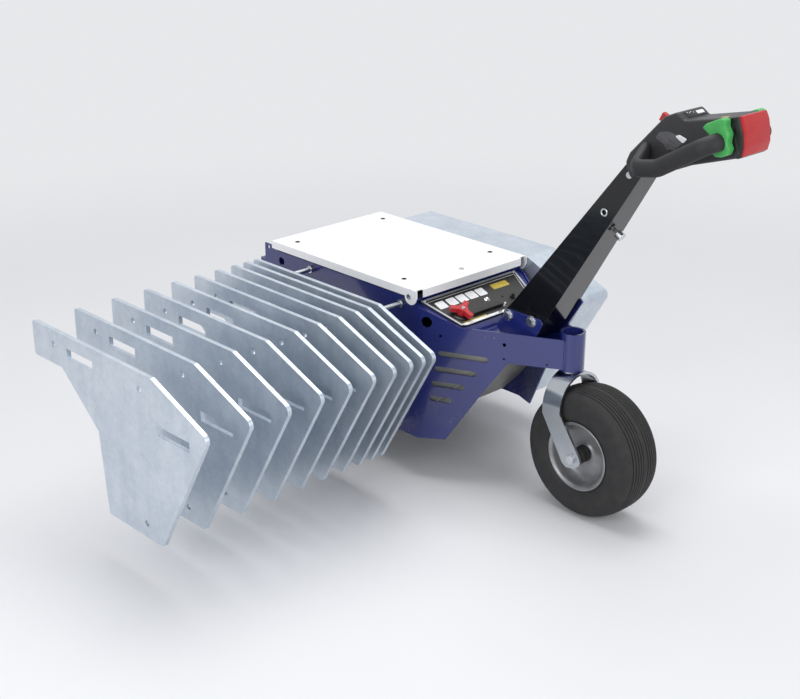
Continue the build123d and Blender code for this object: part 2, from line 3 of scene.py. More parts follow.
import bmesh
import bpy
from mathutils import Matrix, Vector


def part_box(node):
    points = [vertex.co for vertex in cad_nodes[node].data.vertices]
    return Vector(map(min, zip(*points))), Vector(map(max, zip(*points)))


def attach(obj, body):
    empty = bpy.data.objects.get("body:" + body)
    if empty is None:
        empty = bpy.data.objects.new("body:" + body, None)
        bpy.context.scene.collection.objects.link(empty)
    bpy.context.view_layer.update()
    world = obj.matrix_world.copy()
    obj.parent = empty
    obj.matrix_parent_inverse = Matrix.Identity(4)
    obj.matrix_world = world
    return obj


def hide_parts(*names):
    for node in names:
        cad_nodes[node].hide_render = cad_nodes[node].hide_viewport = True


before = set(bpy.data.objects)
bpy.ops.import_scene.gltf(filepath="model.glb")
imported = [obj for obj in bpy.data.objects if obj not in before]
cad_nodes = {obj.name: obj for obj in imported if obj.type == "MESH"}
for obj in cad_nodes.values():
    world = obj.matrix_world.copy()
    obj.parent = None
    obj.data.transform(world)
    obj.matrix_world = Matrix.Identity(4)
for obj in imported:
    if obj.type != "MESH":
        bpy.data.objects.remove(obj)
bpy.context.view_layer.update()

# The studio: a pale floor that fades into a pale backdrop, soft lamps overhead and behind the
# camera, and a camera to the left and behind the tug, above the operator's side, looking down.
lid_low, lid_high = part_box("lid")
lid_middle = Vector(((lid_low.x + lid_high.x) / 2, (lid_low.y + lid_high.y) / 2, lid_high.z))
camera_from_lid = Vector((-3.1976, 3.0528, 1.4363))
camera_yaw, camera_pitch, camera_roll = radians(-43.8), radians(-22.1), radians(0.2)
focal_pixels, photo_width = 1414.6, 800
film_width = 36.0
camera_data = bpy.data.cameras.new("camera")
camera_data.sensor_width = film_width
camera_data.lens = focal_pixels / photo_width * film_width
camera = bpy.data.objects.new("camera", camera_data)
bpy.context.scene.collection.objects.link(camera)
sight = Vector((
    cos(camera_pitch) * cos(camera_yaw),
    cos(camera_pitch) * sin(camera_yaw),
    sin(camera_pitch),
))
camera.rotation_mode = "QUATERNION"
level_turn = Matrix.Rotation(camera_roll, 4, "Z").to_quaternion()
camera.rotation_quaternion = sight.to_track_quat("-Z", "Y") @ level_turn
camera.location = lid_middle + camera_from_lid
bpy.context.scene.camera = camera
bpy.context.scene.view_settings.view_transform = "Standard"


class Socket:
    """An output of a node, in the nodes it belongs to. Sums on it add Math nodes."""

    def __init__(self, nodes, output):
        self.nodes = nodes
        self.output = output

    def sum(self, operation, *values):
        return self.nodes.node("ShaderNodeMath", {"operation": operation}, dict(enumerate(values)))

    def __add__(self, other):
        return self.sum("ADD", self, other)

    __radd__ = __add__

    def __sub__(self, other):
        return self.sum("SUBTRACT", self, other)

    def __rsub__(self, other):
        return self.sum("SUBTRACT", other, self)

    def __mul__(self, other):
        return self.sum("MULTIPLY", self, other)

    __rmul__ = __mul__

    def largest(self, other):
        return self.sum("MAXIMUM", self, other)

    def above(self, low, high):
        """0 below low, 1 above high, and a soft step between."""
        ends = {"Value": self, "From Min": low, "From Max": high}
        return self.nodes.node("ShaderNodeMapRange", {"interpolation_type": "SMOOTHSTEP"}, ends)


class Nodes:
    """A tree of shader nodes that grows through one method."""

    def __init__(self, tree):
        self.tree = tree

    def node(self, kind, settings=None, sockets=None, take=0):
        """Adds a node with its settings, then its sockets' values or links, and gives one output."""
        made = self.tree.nodes.new(kind)
        for key, value in (settings or {}).items():
            setattr(made, key, value)
        for key, value in (sockets or {}).items():
            if isinstance(value, Socket):
                self.tree.links.new(value.output, made.inputs[key])
            else:
                made.inputs[key].default_value = value
        return Socket(self, made.outputs[take])

    def seen(self):
        """1 for the rays that show the backdrop: the camera's, those off metal and those through glass."""
        from_camera = self.node("ShaderNodeLightPath", take="Is Camera Ray")
        off_metal = self.node("ShaderNodeLightPath", take="Is Glossy Ray")
        through_glass = self.node("ShaderNodeLightPath", take="Is Transmission Ray")
        return from_camera.largest(off_metal).largest(through_glass)


class Finish(Nodes):
    """A material while it is mixed. Constants go to the shader's own sockets by name."""

    def __init__(self, name, constants):
        self.material = bpy.data.materials.new(name)
        self.material.use_nodes = True
        super().__init__(self.material.node_tree)
        self.shader = self.tree.nodes["Principled BSDF"]
        for socket, value in constants.items():
            self.shader.inputs[socket].default_value = value
        self.place = self.node("ShaderNodeTexCoord", take="Object")

    def noise(self, size, detail=3.0, rough=0.5, stretch=(1, 1, 1), shift=0.0):
        """Soft random patches about size metres across."""
        mapped = {"Vector": self.place, "Scale": stretch, "Location": (shift,) * 3}
        moved = self.node("ShaderNodeMapping", None, mapped)
        sockets = {"Vector": moved, "Scale": 1 / size, "Detail": detail, "Roughness": rough}
        return self.node("ShaderNodeTexNoise", None, sockets)

    def dots(self, pitch):
        """Round pimples about pitch metres apart, 0 between them and 1 on top."""
        sockets = {"Vector": self.place, "Scale": 1 / pitch, "Randomness": 0.15}
        return 1 - self.node("ShaderNodeTexVoronoi", None, sockets).above(0.1, 0.45)

    def height(self):
        """Height over the floor in metres."""
        return self.node("ShaderNodeSeparateXYZ", None, {0: self.place}, take="Z")

    def blend(self, mask, first, second):
        """The first colour where mask is 0 and the second where it is 1."""
        return self.node("ShaderNodeMix", {"data_type": "RGBA"}, {0: mask, 6: first, 7: second}, take=2)

    def put(self, socket, value):
        self.tree.links.new(value.output, self.shader.inputs[socket])

    def relief(self, height, depth):
        """Lifts the surface by height times depth metres, as bump."""
        sockets = {"Height": height, "Distance": depth, "Strength": 1.0}
        self.put("Normal", self.node("ShaderNodeBump", None, sockets))


def tint(red, green, blue):
    """A colour as a screen shows it, 0 to 255, turned into the light that a shader counts in."""
    shown_parts = [part / 255 for part in (red, green, blue)]
    light = [((c + 0.055) / 1.055) ** 2.4 if c > 0.04 else c / 12.92 for c in shown_parts]
    return (*light, 1.0)


def drifting(name, first, second, size, grain, depth, constants, change=0.1):
    """A finish between two close colours, with a fine grain and a roughness that drifts by change."""
    mixed = Finish(name, constants)
    patches = mixed.noise(size, 4.0)
    mixed.put("Base Color", mixed.blend(patches.above(0.3, 0.7), first, second))
    mixed.relief(mixed.noise(grain, 2.0, 0.5, shift=0.7), depth)
    drift = mixed.noise(size / 3, 3.0, 0.6, shift=1.3)
    mixed.put("Roughness", constants["Roughness"] - change / 2 + change * drift)
    return mixed


def new_piece(name, body, finish, bm, soft_angle=40):
    """Turns a bmesh into a piece that rides on a body, shaded smooth up to soft_angle degrees."""
    bmesh.ops.remove_doubles(bm, verts=bm.verts, dist=1e-6)
    bmesh.ops.recalc_face_normals(bm, faces=bm.faces)
    mesh = bpy.data.meshes.new(name)
    bm.to_mesh(mesh)
    bm.free()
    mesh.shade_smooth()
    mesh.set_sharp_from_angle(angle=radians(soft_angle))
    piece = bpy.data.objects.new(name, mesh)
    bpy.context.scene.collection.objects.link(piece)
    mesh.materials.append(finish.material)
    if body:
        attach(piece, body)
    return piece


backdrop = (0.80, 0.81, 0.83, 1.0)
floor_finish = Finish("studio_floor", {"Roughness": 0.55})
pale, paler = (0.80, 0.80, 0.81, 1), (0.84, 0.84, 0.85, 1)
floor_finish.put("Base Color", floor_finish.blend(floor_finish.noise(0.6, 4.0), pale, paler))
far_off = floor_finish.node(
    "ShaderNodeVectorMath", {"operation": "LENGTH"}, {0: floor_finish.place}, take="Value"
)
fade = far_off.above(1.3, 4.5) * floor_finish.seen()
glow = floor_finish.node("ShaderNodeEmission", None, {"Color": backdrop})
lit = Socket(floor_finish, floor_finish.shader.outputs[0])
mixed_floor = floor_finish.node("ShaderNodeMixShader", None, {0: fade, 1: lit, 2: glow})
floor_output = floor_finish.tree.nodes["Material Output"]
floor_finish.tree.links.new(mixed_floor.output, floor_output.inputs["Surface"])
bm = bmesh.new()
bmesh.ops.create_circle(bm, cap_ends=True, segments=96, radius=30.0)
floor = new_piece("studio_floor", None, floor_finish, bm)


def softbox(name, spot, aim, size, watts, colour=(1, 1, 1)):
    """A square studio lamp of the given side that points at aim."""
    lamp = bpy.data.lights.new(name, "AREA")
    lamp.energy = watts
    lamp.size = size
    lamp.color = colour
    stand = bpy.data.objects.new(name, lamp)
    bpy.context.scene.collection.objects.link(stand)
    stand.location = spot
    stand.rotation_mode = "QUATERNION"
    stand.rotation_quaternion = (Vector(aim) - Vector(spot)).to_track_quat("-Z", "Y")


softbox("overhead", (0.4, -0.6, 4.2), (0.0, 0.0, 0.4), 3.2, 105)
softbox("left_fill", (-1.2, 4.6, 2.6), (0.2, 0.3, 0.5), 2.6, 92)
softbox("rear_fill", (-4.6, -0.6, 2.2), (0.0, 0.0, 0.5), 2.4, 50)

world = bpy.data.worlds.new("studio")
world.use_nodes = True
bpy.context.scene.world = world
sky = world.node_tree.nodes["Background"]
sky.inputs["Color"].default_value = (0.93, 0.95, 1.0, 1.0)
sky.inputs["Strength"].default_value = 0.47
air = Nodes(world.node_tree)
shown = air.node("ShaderNodeBackground", None, {"Color": backdrop})
mixed_sky = air.node("ShaderNodeMixShader", None, {0: air.seen(), 1: Socket(air, sky.outputs[0]), 2: shown})
world.node_tree.links.new(mixed_sky.output, world.node_tree.nodes["World Output"].inputs["Surface"])


# The castor: a hoop fork bent from flat bar and chromed, an axle with two nuts, and a pressed
# steel rim, bolted together and sprayed grey, that carries a pneumatic tyre with a ribbed tread.
def spot(x, y, z):
    """A point in millimetres from the lid's rear edge, the middle line and the floor."""
    return Vector((lid_low.x + x / 1000, lid_middle.y + y / 1000, z / 1000))


def softened(bm, edge, steps=2, sharp=32):
    """Rounds every edge that turns by more than sharp degrees."""
    bm.normal_update()
    corners = [e for e in bm.edges if len(e.link_faces) == 2 and e.calc_face_angle() > radians(sharp)]
    bmesh.ops.bevel(
        bm, geom=corners, affect="EDGES", offset=edge / 1000, segments=steps, profile=0.5, material=-1,
        clamp_overlap=True,
    )


def dressed(node, name, body, finish, edge=0.8, steps=2, sharp=32):
    """A CAD piece with its flat faces made whole and its sharp edges rounded by edge millimetres."""
    bm = bmesh.new()
    bm.from_mesh(cad_nodes[node].data)
    bmesh.ops.remove_doubles(bm, verts=bm.verts, dist=1e-6)
    bmesh.ops.dissolve_limit(bm, angle_limit=radians(0.4), verts=bm.verts, edges=bm.edges)
    softened(bm, edge, steps, sharp)
    piece = new_piece(name, body, finish, bm)
    flat_faces = piece.modifiers.new("flat_faces", "WEIGHTED_NORMAL")
    flat_faces.keep_sharp = True
    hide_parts(node)
    return piece


def turned(bm, outline, centre, axis, steps=48, closed=False):
    """Spins an outline of (radius, distance along the axis) about an axis through centre."""
    axis = Vector(axis).normalized()
    outward = axis.orthogonal().normalized()
    points = [bm.verts.new(centre + outward * r / 1000 + axis * h / 1000) for r, h in outline]
    chain = points + points[:1] if closed else points
    edges = [bm.edges.new(pair) for pair in zip(chain, chain[1:])]
    bmesh.ops.spin(bm, geom=points + edges, cent=centre, axis=axis, angle=2 * pi, steps=steps, use_merge=True)
    bmesh.ops.remove_doubles(bm, verts=bm.verts, dist=1e-6)


def bar(bm, start, end, radius, sides=24, tip=None):
    """A straight bar between two points, round or with the given number of sides."""
    way = end - start
    place = Matrix.Translation((start + end) / 2) @ way.to_track_quat("Z", "Y").to_matrix().to_4x4()
    top = radius if tip is None else tip
    bmesh.ops.create_cone(
        bm, cap_ends=True, segments=sides, radius1=radius / 1000, radius2=top / 1000, depth=way.length,
        matrix=place,
    )


def bolt_head(bm, seat, way, radius, height):
    """A hexagon head with its chamfered crown, on a washer, standing up from seat along way."""
    way = Vector(way).normalized()
    bar(bm, seat, seat + way * 0.0016, radius * 1.3, 24)
    bar(bm, seat + way * 0.0016, seat + way * (height - 1.2) / 1000, radius, 6)
    bar(bm, seat + way * (height - 1.2) / 1000, seat + way * height / 1000, radius, 6, radius * 0.84)


tyre_radius, bead_radius, castor_half_width = 200.0, 101.8, 78.0
crown_start, crown_drop = 0.18, 26.4
groove_places, groove_half, groove_depth = (0.66, 0.53, 0.40, 0.27, 0.13), 0.012, 4.0


def crown(share):
    """The tread's radius at a share of the tyre's half width."""
    return tyre_radius - crown_drop * max(0.0, share - crown_start) ** 2.2


def ribbed_tyre(name, node, body, centre, half):
    """A tyre half wide to each side: bead, bulging wall, rounded shoulder and fine tread grooves."""
    outline = [(bead_radius, 0.84 * half), (106, 0.86 * half), (110, 0.91 * half), (113, 0.955 * half)]
    outline += [(116, 0.965 * half), (118, 0.985 * half), (126, half), (142, half), (156, 0.995 * half)]
    outline += [(168, 0.975 * half), (178, 0.935 * half), (185, 0.885 * half), (190, 0.82 * half)]
    outline += [(crown(share), share * half) for share in (0.74, 0.70)]
    for share in groove_places:
        for step, depth in ((1.6, 0), (1, groove_depth), (-1, groove_depth), (-1.6, 0)):
            outline.append((crown(share + step * groove_half) - depth, (share + step * groove_half) * half))
    outline += [(r, -s) for r, s in reversed(outline)]
    bm = bmesh.new()
    turned(bm, outline, centre, (0, 1, 0), steps=96, closed=True)
    piece = new_piece(name, body, rubber, bm, soft_angle=35)
    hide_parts(node)


def pressed_rim(name, node, body, centre, half, bore, hub_end):
    """A deep dish pressed from sheet, with rolled lips and a hub tube through its middle."""
    shift = half - castor_half_width
    dish = [
        (22, 34), (26, 29), (34, 26.5), (46, 25), (60, 26),
        (72, 29.5), (82, 36), (89, 45), (92.5, 54), (94, 62),
    ]
    lip = [
        (95.5, 67), (98, 71), (102, 73.6), (105.5, 74.8),
        (107.6, 73.8), (108, 71.8), (107.2, 70), (104, 68.4),
    ]
    outline = [(bore, hub_end), (21, hub_end), (22, hub_end - 1.5)]
    outline += [(r, s + shift) for r, s in dish + lip + [(101.5, 66.1)]]
    outline += [(r, -s) for r, s in reversed(outline)]
    bm = bmesh.new()
    turned(bm, outline, centre, (0, 1, 0), steps=96, closed=True)
    piece = new_piece(name, body, rim_grey, bm, soft_angle=42)
    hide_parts(node)


def hub_seals(name, body, centre, hub_end, inner_end):
    """A ribbed black bearing sleeve over each end of the hub tube."""
    bm = bmesh.new()
    for side in (1, -1):
        length = hub_end - inner_end
        sleeve = [(21.5, -length), (25.5, -length), (25.5, -0.82 * length), (23.4, -0.78 * length)]
        sleeve += [(23.4, -0.5 * length), (25.5, -0.46 * length)]
        sleeve += [(25.5, -0.3 * length), (23.4, -0.26 * length)]
        sleeve += [(23.4, -2.5), (21.5, -1.0)]
        turned(bm, sleeve, centre + Vector((0, side * hub_end / 1000, 0)), (0, side, 0), closed=True)
    new_piece(name, body, rubber, bm)


plated = Finish("bright_plated_steel", {"Metallic": 1.0})
plated.put("Base Color", plated.blend(plated.noise(0.05), tint(190, 194, 198), tint(222, 225, 228)))
plated.put("Roughness", 0.13 + 0.13 * plated.noise(0.02, 4.0))
plated.relief(plated.noise(0.003, 2.0), 0.00002)
chrome = Finish("chromed_flat_bar", {"Metallic": 1.0})
drawn = chrome.noise(0.03, 3.0, 0.5, stretch=(1, 1, 0.08))
chrome.put("Base Color", chrome.blend(chrome.noise(0.09), tint(176, 181, 187), tint(205, 209, 213)))
chrome.put("Roughness", 0.10 + 0.12 * drawn)
chrome.relief(drawn, 0.00012)
rim_grey = drifting(
    "rim_silver_paint", tint(136, 136, 138), tint(158, 158, 160), 0.05, 0.003, 0.00005,
    {"Roughness": 0.36, "Metallic": 0.55},
)
rubber = Finish("tyre_rubber", {"Roughness": 0.68})
dusty = rubber.noise(0.035, 5.0, 0.65)
rubber.put("Base Color", rubber.blend(dusty.above(0.35, 0.75), tint(31, 31, 32), tint(47, 46, 46)))
rubber.put("Roughness", 0.58 + 0.24 * dusty)
rubber.relief(rubber.noise(0.0018, 3.0), 0.00015)

dressed("castor_fork", "castor_fork_chromed", "castor_fork_body", chrome, edge=1.2, steps=3)
dressed("castor_axle", "castor_axle_plated", "castor_fork_body", plated)
castor_centre = spot(-500, 0, 200)
pressed_rim("castor_rim_pressed", "castor_rim", "castor_wheel", castor_centre, castor_half_width, 10.05, 84.0)
ribbed_tyre("castor_tyre_ribbed", "castor_tyre", "castor_wheel", castor_centre, castor_half_width)
hub_seals("castor_hub_sleeves", "castor_wheel", castor_centre, 83.0, 36.0)

# The chassis: bent steel sheet panels on both sides that close in behind to meet the swivel
# tube, welded up and sprayed in a glossy deep blue, with a grey sheet behind the cooling slots.
blue = Finish("blue_gloss_paint", {"Coat Weight": 0.7, "Coat Roughness": 0.05, "IOR": 1.5})
blue_drift = blue.noise(0.22, 4.0)
fresh = blue.blend(blue_drift, tint(24, 33, 100), tint(34, 45, 118))
dust = (1 - blue.height().above(0.12, 0.42)) * blue.noise(0.05, 5.0, 0.65, shift=2.0).above(0.42, 0.72)
blue.put("Base Color", blue.blend(0.14 * dust, fresh, tint(96, 98, 112)))
blue.relief(blue.noise(0.004, 2.0), 0.00006)
blue.put("Roughness", 0.20 + 0.08 * blue.noise(0.09, 3.0) + 0.08 * dust)
for node in (
    "side_panel_left", "side_panel_right", "swivel_tube",
    "beam_plates", "front_cross_plate", "battery_box_rim",
):
    dressed(node, node + "_painted", "chassis", blue)

grey = drifting(
    "grey_satin_paint", tint(122, 122, 118), tint(138, 137, 131), 0.12, 0.004, 0.00006, {"Roughness": 0.45}
)
for node in ("floor_pan", "rear_apron"):
    dressed(node, node + "_painted", "chassis", grey)

side_half_width, nose_half_width, bend_run = 240.0, 40.0, 405.0
bend_angle = atan((side_half_width - nose_half_width) / bend_run)
bend_way = Vector((-cos(bend_angle), -sin(bend_angle), 0))
backing_depth, backing_sheet = 9.0, 1.5
middle_line = Vector((0, lid_middle.y, 0))
bm = bmesh.new()
for side in (1, -1):
    flip = Vector((1, side, 1))
    inward = Vector((sin(bend_angle), -cos(bend_angle), 0)) / 1000
    corners = []
    for behind, z in ((12, 236), (12, 476), (228, 476), (226, 440)):
        run = behind / cos(bend_angle) / 1000
        place = spot(0, side_half_width, z) - middle_line + bend_way * run + inward * backing_depth
        corners.append(place * flip + middle_line)
    face = bm.faces.new([bm.verts.new(corner) for corner in corners])
    made = bmesh.ops.extrude_face_region(bm, geom=[face])["geom"]
    moved = [g for g in made if isinstance(g, bmesh.types.BMVert)]
    bmesh.ops.translate(bm, verts=moved, vec=inward * flip * backing_sheet)
softened(bm, 0.4)
new_piece("slot_backing_sheets", "chassis", grey, bm)
bm = bmesh.new()
step_line = [(-119, 172, 525), (-119, -172, 525), (-138, -166, 505), (-138, 166, 505)]
face = bm.faces.new([bm.verts.new(spot(*corner)) for corner in step_line])
made = bmesh.ops.extrude_face_region(bm, geom=[face])["geom"]
moved = [g for g in made if isinstance(g, bmesh.types.BMVert)]
bmesh.ops.translate(bm, verts=moved, vec=Vector((0.003, 0, -0.003)))
softened(bm, 0.5)
new_piece("deck_step_sheet", "chassis", blue, bm)


def weld(bm, start, end, radius):
    """A rippled bead of weld laid from start to end."""
    way = end - start
    ripples = 2 * round(way.length / 0.007)
    place = Matrix.Translation(start) @ way.to_track_quat("Z", "Y").to_matrix().to_4x4()
    circle = bmesh.ops.create_circle(bm, cap_ends=True, segments=10, radius=radius / 1000, matrix=place)
    ring = circle["verts"]
    loop = list({e for v in ring for e in v.link_edges})
    for step in range(1, ripples + 1):
        made = bmesh.ops.extrude_edge_only(bm, edges=loop)["geom"]
        moved = [g for g in made if isinstance(g, bmesh.types.BMVert)]
        loop = [g for g in made if isinstance(g, bmesh.types.BMEdge)]
        bmesh.ops.translate(bm, verts=moved, vec=way / ripples)
        swell = 1.22 if step % 2 else 1 / 1.22
        around = Matrix.Translation(-(start + way * step / ripples))
        bmesh.ops.scale(bm, verts=moved, vec=(swell, swell, swell), space=around)
    bmesh.ops.holes_fill(bm, edges=loop)


bm = bmesh.new()
deck_height = 506.0
for side in (1, -1):
    weld(bm, spot(-407, side * 37.5, 443), spot(-407, side * 37.5, 530), 3.0)
    weld(bm, spot(-186, side * 72.5, deck_height), spot(-306, side * 72.5, deck_height), 2.6)
    weld(bm, spot(756, side * 234, 190), spot(756, side * 234, 545), 2.6)
new_piece("chassis_weld_beads", "chassis", blue, bm, soft_angle=80)
dressed("swivel_bush", "swivel_bush_bronze", "chassis", plated)

# The drive: two wheels like the castor's but narrower, on the stubs of one axle tube, and a
# transaxle motor with cast cooling rings between the side panels, all sprayed dark.
dark = drifting(
    "dark_satin_paint", tint(50, 50, 52), tint(62, 62, 64), 0.07, 0.004, 0.0001, {"Roughness": 0.5}
)
drive_half_track, drive_half_width = 328.0, 59.0
wheel_bolt_ring, wheel_bolt_count, wheel_disc = 50.0, 5, 6.4
for side_name, side in (("left", 1), ("right", -1)):
    body = "drive_wheel_" + side_name
    wheel_centre = spot(500, side * drive_half_track, 200)
    rim, tyre = "drive_rim_" + side_name, "drive_tyre_" + side_name
    pressed_rim(rim + "_pressed", rim, body, wheel_centre, drive_half_width, 20.05, 38.0)
    ribbed_tyre(tyre + "_ribbed", tyre, body, wheel_centre, drive_half_width)
    bm = bmesh.new()
    for k in range(wheel_bolt_count):
        turn = 2 * pi * (k + 0.25) / wheel_bolt_count
        outward, upward = cos(turn) * wheel_bolt_ring, sin(turn) * wheel_bolt_ring
        ring_place = Vector((outward, side * wheel_disc, upward)) / 1000
        bolt_head(bm, wheel_centre + ring_place, (0, side, 0), 8.5, 8.5)
    new_piece(f"drive_wheel_{side_name}_bolts", body, plated, bm)
dressed("drive_axle", "drive_axle_painted", "chassis", dark)
dressed("drive_motor", "drive_motor_painted", "chassis", dark)
motor_radius, motor_front, motor_height, motor_bolt_ring = 65.0, 740.0, 220.0, 48.0
bm = bmesh.new()
for k in range(10):
    ring_foot, ring_top = motor_radius - 1, motor_radius + 3.5
    ring = [(ring_foot, -2.2), (ring_top, -1.4), (ring_top, 1.4), (ring_foot, 2.2)]
    turned(bm, ring, spot(600 + 12 * k, 0, motor_height), (1, 0, 0), closed=True)
for k in range(4):
    turn = pi / 4 + k * pi / 2
    aside, above_axle = motor_bolt_ring * cos(turn), motor_bolt_ring * sin(turn)
    bolt_head(bm, spot(motor_front, aside, motor_height + above_axle), (1, 0, 0), 6, 5)
new_piece("drive_motor_rings", "chassis", dark, bm)

# The battery: one moulded block case that fills the bay, with screw caps over its cells and
# two lead terminals, each under a bolted lug, hidden below the lid.
case = drifting(
    "battery_case_black", tint(48, 48, 50), tint(60, 60, 61), 0.09, 0.002, 0.00008, {"Roughness": 0.52}
)
dressed("battery", "battery_case_moulded", "chassis", case, edge=4, steps=3)
battery_top = 552.0
bm = bmesh.new()
for row in (-70, 70):
    for k in range(6):
        cap = [(0, 5), (9, 5), (10.5, 4), (11, 0), (15, 0), (15, 0.9), (16, -0.5)]
        turned(bm, cap, spot(118 + 49 * k, row, battery_top), (0, 0, 1), 24)
new_piece("battery_cell_caps", "chassis", case, bm)
bm = bmesh.new()
for y in (-185, 185):
    bar(bm, spot(120, y, battery_top), spot(120, y, battery_top + 3), 16, 32)
    bolt_head(bm, spot(120, y, battery_top + 3), (0, 0, 1), 8, 7)
new_piece("battery_terminals", "chassis", plated, bm)

# The control panel: a bent steel tray with a dark face between the side panels, a pale frame
# line round it, five blank signs, a red isolator handle, small fittings and a black cover bar.
panel = drifting(
    "control_panel_face", tint(36, 35, 34), tint(46, 44, 42), 0.05, 0.0025, 0.00004, {"Roughness": 0.45}
)
dressed("control_panel", "control_panel_tray", "chassis", panel)
frame_paint = drifting(
    "panel_frame_grey", tint(172, 175, 180), tint(196, 199, 203), 0.04, 0.002, 0.00004, {"Roughness": 0.35}
)
sign_white = drifting(
    "blank_sign_white", tint(232, 234, 236), tint(246, 247, 248), 0.02, 0.001, 0.00002, {"Roughness": 0.3}
)
sign_yellow = drifting(
    "blank_strip_yellow", tint(178, 156, 58), tint(196, 174, 74), 0.02, 0.001, 0.00002, {"Roughness": 0.35}
)
black_plastic = drifting(
    "moulded_black_gloss", tint(24, 24, 26), tint(34, 34, 36), 0.03, 0.001, 0.00004, {"Roughness": 0.3}
)
panel_top, panel_grade = 586.0, 0.39
panel_slope = atan(panel_grade)
panel_fall = Vector((-cos(panel_slope), 0, -sin(panel_slope)))
panel_rise = Vector((-sin(panel_slope), 0, cos(panel_slope)))


def on_panel(y, down, lift):
    """A point on the panel: down its slope from the upper edge, and lift above its frame."""
    return spot(21, y, panel_top) + (panel_fall * down + panel_rise * lift) / 1000


def slab(bm, corners, push, rounding=0.0):
    """A flat plate: a face through the corners, rounded by rounding millimetres, given thickness by push."""
    before = set(bm.faces)
    points = [bm.verts.new(corner) for corner in corners]
    bm.faces.new(points)
    if rounding:
        bmesh.ops.bevel(
            bm, geom=points, affect="VERTICES", offset=rounding / 1000, segments=5, profile=0.5, material=-1
        )
    flat = [f for f in bm.faces if f not in before]
    made = bmesh.ops.extrude_face_region(bm, geom=flat)["geom"]
    bmesh.ops.translate(bm, verts=[g for g in made if isinstance(g, bmesh.types.BMVert)], vec=push)


def border(bm, corners, width, push):
    """A flat frame: the outer strip of a face, width millimetres wide, given thickness by push."""
    before = set(bm.faces)
    face = bm.faces.new([bm.verts.new(corner) for corner in corners])
    face.normal_update()
    bmesh.ops.inset_individual(bm, faces=[face], thickness=width / 1000, use_even_offset=True)
    bmesh.ops.delete(bm, geom=[face], context="FACES_ONLY")
    strips = [f for f in bm.faces if f not in before]
    made = bmesh.ops.extrude_face_region(bm, geom=strips)["geom"]
    bmesh.ops.translate(bm, verts=[g for g in made if isinstance(g, bmesh.types.BMVert)], vec=push)


def panel_ring(inset, lift):
    """The tray's six corners, moved in by inset."""
    top, low, deep = 213 - inset, 172.4 - inset, 152.4 - inset
    half = [(top, inset), (low, deep - 8), (low - 20, deep)]
    return [on_panel(y, s, lift) for y, s in half + [(-y, s) for y, s in reversed(half)]]


face_lift = -3.0
bm = bmesh.new()
border(bm, panel_ring(0.8, 0), 7.0, panel_rise * 0.0012)
softened(bm, 0.4)
new_piece("control_panel_frame_strip", "chassis", frame_paint, bm)
bm = bmesh.new()
border(bm, panel_ring(12.6, face_lift), 1.6, panel_rise * 0.0006)
lower_line = ((163, 141.5), (4, 141.5), (12, 150.5), (152, 150.5))
slab(bm, [on_panel(y, s, 0) for y, s in lower_line], panel_rise * 0.0018, 2)
new_piece("control_panel_white_line", "chassis", sign_white, bm)

sign_rows = [(139, 175), (93, 129), (49, 86), (6, 43), (-35, 0)]
bm = bmesh.new()
for y0, y1 in sign_rows:
    sign_edge = ((y0, 24), (y1, 24), (y1, 57), (y0, 57))
    slab(bm, [on_panel(y, s, face_lift) for y, s in sign_edge], panel_rise * 0.001, 4)
softened(bm, 0.25, 1)
new_piece("control_panel_blank_signs", "chassis", sign_white, bm)
bm = bmesh.new()
label_edge = ((-143, 25), (-71, 25), (-71, 49), (-143, 49))
slab(bm, [on_panel(y, s, face_lift) for y, s in label_edge], panel_rise * 0.0007, 2)
strip_edge = ((51, 133), (159, 133), (159, 139), (51, 139))
slab(bm, [on_panel(y, s, face_lift) for y, s in strip_edge], panel_rise * 0.0009, 1)
new_piece("control_panel_yellow_strips", "chassis", sign_yellow, bm)
bm = bmesh.new()
cover_edge = ((-38, 108), (125, 108), (125, 123), (-38, 123))
slab(bm, [on_panel(y, s, face_lift) for y, s in cover_edge], panel_rise * 0.011, 3)
softened(bm, 2.0, 3)
bar(bm, on_panel(-100, 103, face_lift), on_panel(-100, 103, 4), 9, 6)
bar(bm, on_panel(-100, 103, 4), on_panel(-100, 103, 13), 5.5, 24, 4.5)
bar(bm, on_panel(-73, 85, face_lift), on_panel(-73, 85, -1.6), 4, 20)
isolator_seat = [(15, 0), (33, 0), (33, 2.5), (30, 4), (17, 4)]
turned(bm, isolator_seat, on_panel(128, 98.7, face_lift), panel_rise, closed=True)
new_piece("control_panel_black_fittings", "chassis", black_plastic, bm)
bm = bmesh.new()
dome = [(10, 0), (10, 1.2), (8.6, 1.8), (7.4, 4.4), (5.0, 6.4), (2.4, 7.3), (0, 7.6)]
turned(bm, dome, on_panel(-9, 77, face_lift), panel_rise, 32)
for y, s in ((-15, 146.5), (199, 6), (-199, 6)):
    turned(bm, [(r * 0.55, h * 0.5) for r, h in dome], on_panel(y, s, 1), panel_rise, 24)
turned(bm, dome, spot(-190, -84, deck_height), (0, 0, 1), 32)
new_piece("control_panel_dome_screws", "chassis", plated, bm)
bm = bmesh.new()
bar(bm, on_panel(-39, 126, face_lift), on_panel(-39, 126, 12), 3.4, 20, 2.8)
softened(bm, 0.6)
new_piece("control_panel_white_peg", "chassis", sign_white, bm)

